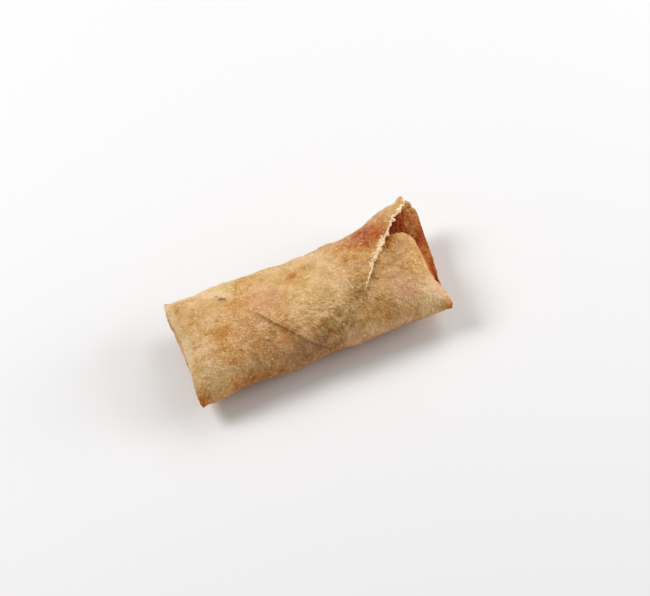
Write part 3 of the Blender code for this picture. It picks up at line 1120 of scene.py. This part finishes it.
# %% Tints, filling and painted shade, herbs, painted highlights and bare dough
HUE_RANGE = (0.37, 0.63)
BLOTCH_NOISE = (0.0036, 4)
BLOTCH_RANGE = (0.36, 0.60)
BLOTCH_LEAST = 0.40
SPECK_RANGE = (0.30, 0.80)
SPECK_SHARE = 0.60
TORN_HIGHLIGHT_RANGE = (0.42, 0.52)

hue = rescale(crust_group, patches, *HUE_RANGE)
tint = mix_colour(crust_group, hue, ROSY_TINT, GOLDEN_TINT)
colour = mix_colour(crust_group, 1.0, colour, tint, "MULTIPLY")
blotches = noise_value(crust_group, position, *BLOTCH_NOISE)
blotch = rescale(crust_group, blotches, *BLOTCH_RANGE, BLOTCH_LEAST)
# The filling tint also lays painted shade on the near flank
filling_and_shade_share = calculate(crust_group, "MULTIPLY", group_in["Filling"], blotch, clamp=True)
colour = mix_colour(crust_group, filling_and_shade_share, colour, FILLING_AND_SHADE_TINT, "MULTIPLY")
rosy = calculate(crust_group, "MULTIPLY", group_in["Pink"], blotch, clamp=True)
colour = mix_colour(crust_group, rosy, colour, PINK_COLOUR)
colour = mix_colour(crust_group, group_in["Herb"], colour, HERB_COLOUR)
# A cream speck on each blister top: partly paler dough, partly a painted highlight
blister_tops = rescale(crust_group, blistered, *SPECK_RANGE)
speck_highlight = calculate(crust_group, "MULTIPLY", blister_tops, SPECK_SHARE)
colour = mix_colour(crust_group, speck_highlight, colour, SPECK_HIGHLIGHT_COLOUR)
# Noise varies the bare dough between a painted highlight and a painted shade
torn_highlight_share = rescale(crust_group, fine, *TORN_HIGHLIGHT_RANGE)
bare_dough_lit_and_shaded = mix_colour(crust_group, torn_highlight_share, TORN_PAINTED_SHADE, TORN_HIGHLIGHT_COLOUR)
colour = mix_colour(crust_group, group_in["Torn"], colour, bare_dough_lit_and_shaded)
feed(crust_group, group_out["Color"], colour)
print("nodes up to the colour:", len(crust_group.nodes))

# %% [markdown]
# ## Gloss and relief of the crust
# A thin film of oil makes the skin glossy, and unevenly so: the mottling drives its roughness too.
# The finest relief is bump, because cells small enough for it would be too many.

# %% Gloss and relief
MOTTLE_RANGE = (0.3, 0.7)
ROUGHNESS_RANGE = (0.32, 0.48)
BLISTER_RELIEF = 0.55
FINE_RELIEF = 0.70
MOTTLE_RELIEF = 1.25

gloss = rescale(crust_group, mottle, *MOTTLE_RANGE, *ROUGHNESS_RANGE)
feed(crust_group, group_out["Roughness"], gloss)
height = calculate(crust_group, "MULTIPLY", blistered, BLISTER_RELIEF)
height = calculate(crust_group, "MULTIPLY_ADD", fine, FINE_RELIEF, height)
height = calculate(crust_group, "MULTIPLY_ADD", mottle, MOTTLE_RELIEF, height)
feed(crust_group, group_out["Height"], height)
print("nodes in the crust group:", len(crust_group.nodes))

# %% The two materials
PAINTED = ("Browning", "Filling", "Pink", "Herb")
BUMP_STRENGTH = 1.0
BUMP_HEIGHT = 0.00075
SHADED_BLISTER_SIZE = 0.0017
SHADED_BLISTER_CONTRAST = 0.34
OIL_SPECULAR = 0.32


def crust_material(name, painted):
    """A fried crust that reads the painted attributes of its piece."""
    material = bpy.data.materials.new(name)
    material.use_nodes = True
    tree = material.node_tree
    shader = tree.nodes["Principled BSDF"]
    group = tree.nodes.new("ShaderNodeGroup")
    group.node_tree = crust_group
    place = tree.nodes.new("ShaderNodeTexCoord")
    tree.links.new(place.outputs["Object"], group.inputs["Position"])
    for socket in painted:
        attribute = tree.nodes.new("ShaderNodeAttribute")
        attribute.attribute_name = socket.lower()
        tree.links.new(attribute.outputs["Fac"], group.inputs[socket])
    group.inputs["Blister Size"].default_value = SHADED_BLISTER_SIZE
    group.inputs["Blister Contrast"].default_value = SHADED_BLISTER_CONTRAST
    bump = tree.nodes.new("ShaderNodeBump")
    bump.inputs["Strength"].default_value = BUMP_STRENGTH
    bump.inputs["Distance"].default_value = BUMP_HEIGHT
    tree.links.new(group.outputs["Height"], bump.inputs["Height"])
    tree.links.new(group.outputs["Color"], shader.inputs["Base Color"])
    tree.links.new(group.outputs["Roughness"], shader.inputs["Roughness"])
    tree.links.new(bump.outputs["Normal"], shader.inputs["Normal"])
    shader.inputs["Specular IOR Level"].default_value = OIL_SPECULAR
    return material


roll_body.data.materials.append(crust_material("wrapper_crust", PAINTED + ("Sheltered",)))
closing_flap.data.materials.append(crust_material("flap_crust", PAINTED + ("Torn",)))
print("materials:", [piece.data.materials[0].name for piece in (roll_body, closing_flap)])

# %% [markdown]
# ## Floor and light
# The roll lies on a plain pale floor. The main soft light stands behind it on the left, as a
# window would, so that the top is bright and the near flank falls off. A weaker one stands behind
# it on the right. A third, broad and as strong as the first, stands lower on the right and
# brightens the open right end. The pale, warm world fills the shadows.

# %% Floor
FLOOR_SIZE = 3.0
FLOOR_COLOUR = (0.80, 0.80, 0.81, 1)
FLOOR_ROUGHNESS = 0.7

bpy.ops.object.select_all(action="DESELECT")
bpy.ops.mesh.primitive_plane_add(size=FLOOR_SIZE, location=(0, 0, 0))
floor = bpy.context.object
floor.name = "floor"
floor_material = bpy.data.materials.new("pale_floor")
floor_material.use_nodes = True
floor_shader = floor_material.node_tree.nodes["Principled BSDF"]
floor_shader.inputs["Base Color"].default_value = FLOOR_COLOUR
floor_shader.inputs["Roughness"].default_value = FLOOR_ROUGHNESS
floor.data.materials.append(floor_material)
print("floor's sides, m:", FLOOR_SIZE)

# %% Lights and world
# Name, place, side and power in watts
LIGHTS = [
    ("key_light", (-0.60, 0.42, 0.85), 0.5, 8.0),
    ("back_light", (0.60, 0.45, 0.75), 0.6, 3.5),
    ("fill_light", (1.06, -0.22, 0.42), 0.7, 8.0),
]
WORLD_COLOUR = (1.0, 0.97, 0.92, 1)
WORLD_STRENGTH = 0.30


def soft_light(name, place, size, power):
    """Adds a square light of a size in metres, turned towards the roll."""
    bpy.ops.object.light_add(type="AREA", location=place)
    light = bpy.context.object
    light.name = name
    light.data.size = size
    light.data.energy = power
    light.rotation_euler = Vector(place).to_track_quat("Z", "Y").to_euler()
    print(name, "at", place)


for name, place, size, power in LIGHTS:
    soft_light(name, place, size, power)
world = bpy.data.worlds.new("pale_world")
bpy.context.scene.world = world
world.use_nodes = True
background = world.node_tree.nodes["Background"]
background.inputs["Color"].default_value = WORLD_COLOUR
background.inputs["Strength"].default_value = WORLD_STRENGTH
bpy.context.scene.view_settings.view_transform = "Standard"

# %% [markdown]
# ## The body that the pieces ride on
# Both pieces stand for the one solid, which is hidden. They ride on the only body.

# %% Bodies
for piece in (roll_body, closing_flap):
    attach(piece, "root")
    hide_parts("spring_roll")
